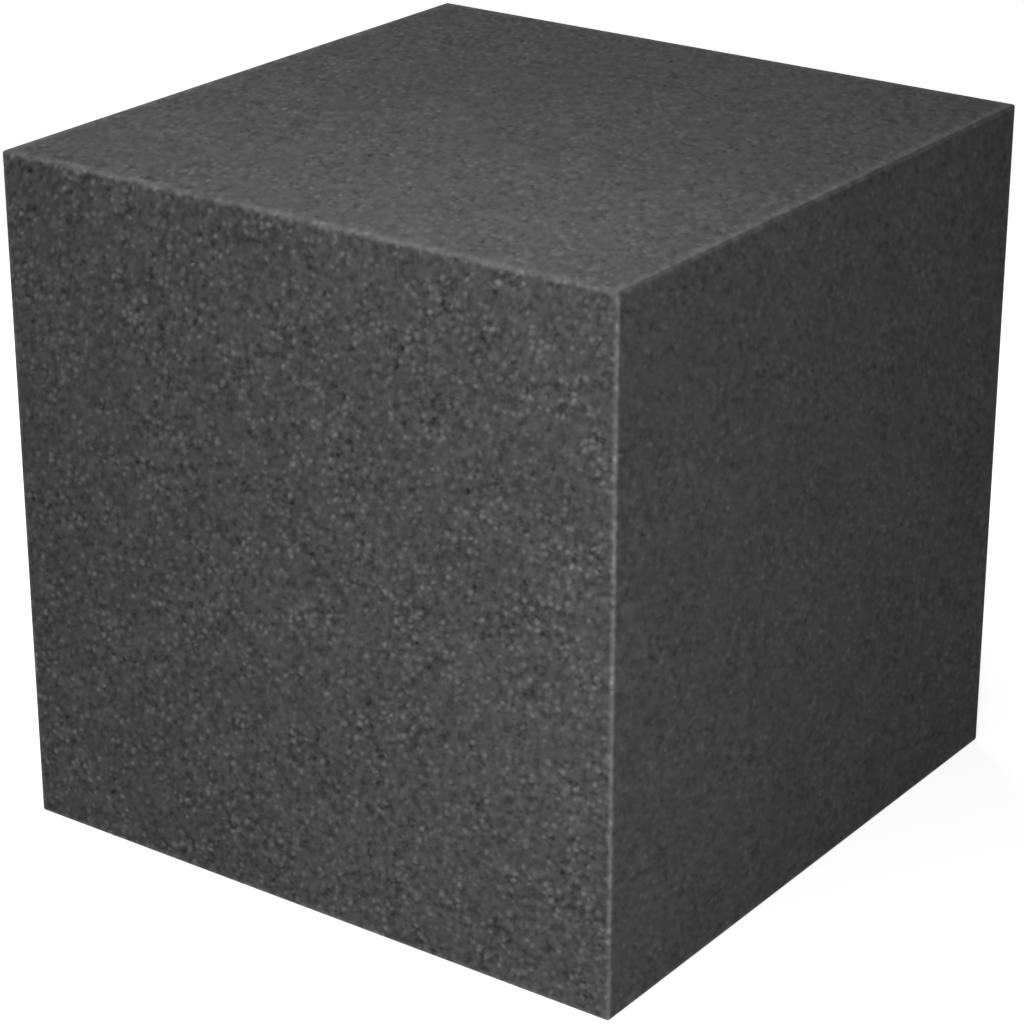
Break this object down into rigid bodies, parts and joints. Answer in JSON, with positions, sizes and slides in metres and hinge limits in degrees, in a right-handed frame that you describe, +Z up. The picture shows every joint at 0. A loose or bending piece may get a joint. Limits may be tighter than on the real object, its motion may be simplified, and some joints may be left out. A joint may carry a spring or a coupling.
{
  "type": "acoustic foam corner block",
  "caption": "Charcoal open-cell foam cube that fills a room's corner where walls meet ceiling or floor, so that foam bass traps butt squarely against it.",
  "frame": {"origin": "centre of the base face, which rests on the floor", "axes": "+Z up out of the base. +Y out of the back face and -X out of the left face, which go against the walls. -Y out of the front face and +X out of the right face, which look into the room"},
  "size_m": [0.3048, 0.3048, 0.3048],
  "materials": {
    "foam": "matt cut open-cell foam"
  },
  "bodies": {
    "root": {"foam_block": "foam"}
  },
  "joints": []
}
